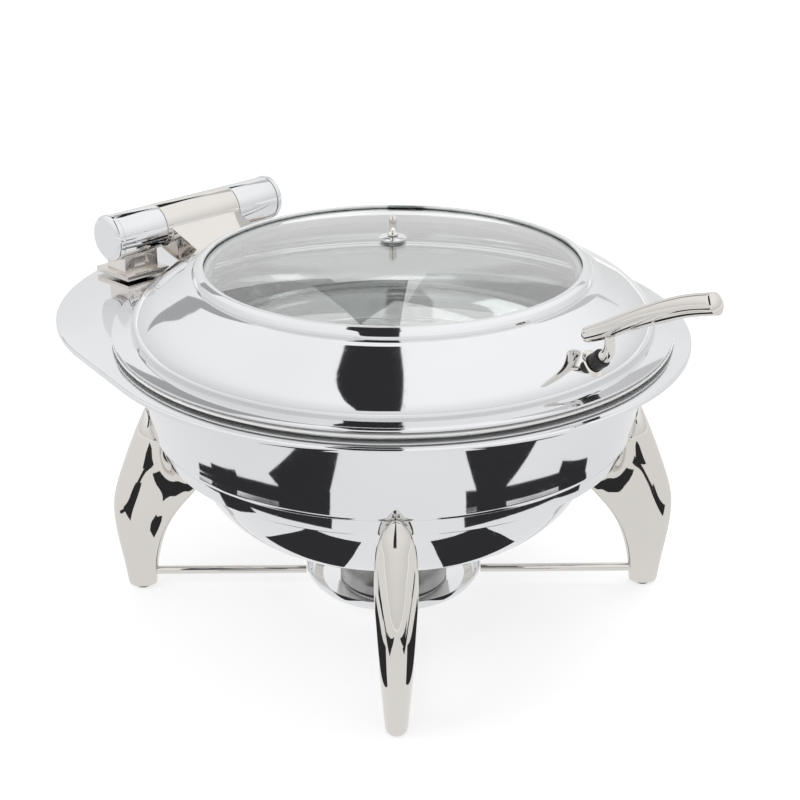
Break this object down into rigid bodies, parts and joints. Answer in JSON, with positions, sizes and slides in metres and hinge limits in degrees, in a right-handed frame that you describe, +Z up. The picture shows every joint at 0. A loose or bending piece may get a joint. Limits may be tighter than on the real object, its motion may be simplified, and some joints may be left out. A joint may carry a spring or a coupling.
{
  "type": "round chafing dish",
  "caption": "Round buffet food warmer with a rear-hinged domed lid and glass window, on a legged stand with a fuel burner below the pans.",
  "frame": {"origin": "on the floor, on the vertical axis of the pans and the lid, which is the middle of the footprint", "axes": "+Z up, +Y to the lid hinge at the rear, -Y to the lid handle at the front, +X to the right as seen from the front"},
  "size_m": [0.4384, 0.558, 0.3121],
  "materials": {
    "polished_steel": "mirror polished stainless steel",
    "satin_steel": "satin stainless steel",
    "window_glass": "clear tempered glass",
    "black_plastic": "heat resistant black plastic",
    "silicone": "matt silicone",
    "pad_rubber": "matt rubber",
    "nylon": "natural nylon"
  },
  "bodies": {
    "stand": {"burner_cover": "satin_steel", "burner_tray": "polished_steel", "foot_pad_front_left": "pad_rubber", "foot_pad_front_right": "pad_rubber", "foot_pad_rear_left": "pad_rubber", "foot_pad_rear_right": "pad_rubber", "fuel_cup": "satin_steel", "leg_front_left": "polished_steel", "leg_front_right": "polished_steel", "leg_rear_left": "polished_steel", "leg_rear_right": "polished_steel", "leg_screw_front_left": "satin_steel", "leg_screw_front_right": "satin_steel", "leg_screw_rear_left": "satin_steel", "leg_screw_rear_right": "satin_steel", "shutter_rivet": "satin_steel", "stand_ring": "polished_steel", "stay_bar_front_left": "polished_steel", "stay_bar_front_right": "polished_steel", "stay_bar_rear_left": "polished_steel", "stay_bar_rear_right": "polished_steel"},
    "pans": {"food_pan": "satin_steel", "hinge_barrel_left": "polished_steel", "hinge_barrel_right": "polished_steel", "hinge_bracket_left": "polished_steel", "hinge_bracket_right": "polished_steel", "hinge_bushing_left": "nylon", "hinge_bushing_right": "nylon", "hinge_cap_left": "polished_steel", "hinge_cap_right": "polished_steel", "hinge_damper": "satin_steel", "hinge_screw_1": "satin_steel", "hinge_screw_2": "satin_steel", "hinge_screw_3": "satin_steel", "hinge_screw_4": "satin_steel", "hinge_spring": "satin_steel", "lid_gasket": "silicone", "water_pan": "polished_steel"},
    "lid": {"arm_screw_1": "satin_steel", "arm_screw_2": "satin_steel", "glass_window": "window_glass", "handle_bar": "polished_steel", "handle_collar": "black_plastic", "handle_rosette": "polished_steel", "handle_screw": "satin_steel", "hinge_shaft": "satin_steel", "lid_arm": "polished_steel", "lid_shell": "polished_steel", "vent_nut": "satin_steel", "vent_pin": "polished_steel", "vent_seal": "silicone", "vent_washer": "polished_steel", "window_clamp_ring": "satin_steel", "window_gasket": "silicone", "window_ring": "polished_steel"},
    "shutter": {"burner_shutter": "polished_steel", "shutter_knob": "black_plastic"}
  },
  "joints": [
    {"name": "pan_lift", "type": "slide", "parent": "stand", "child": "pans", "axis": [0, 0, 1], "range_m": [0, 0.15]},
    {"name": "lid_hinge", "type": "hinge", "parent": "pans", "child": "lid", "pos_m": [0, 0.234, 0.2535], "axis": [-1, 0, 0], "range_deg": [0, 90]},
    {"name": "shutter_swivel", "type": "hinge", "parent": "stand", "child": "shutter", "pos_m": [0, 0.033, 0.045], "axis": [0, 0, 1], "range_deg": [0, 75]}
  ]
}
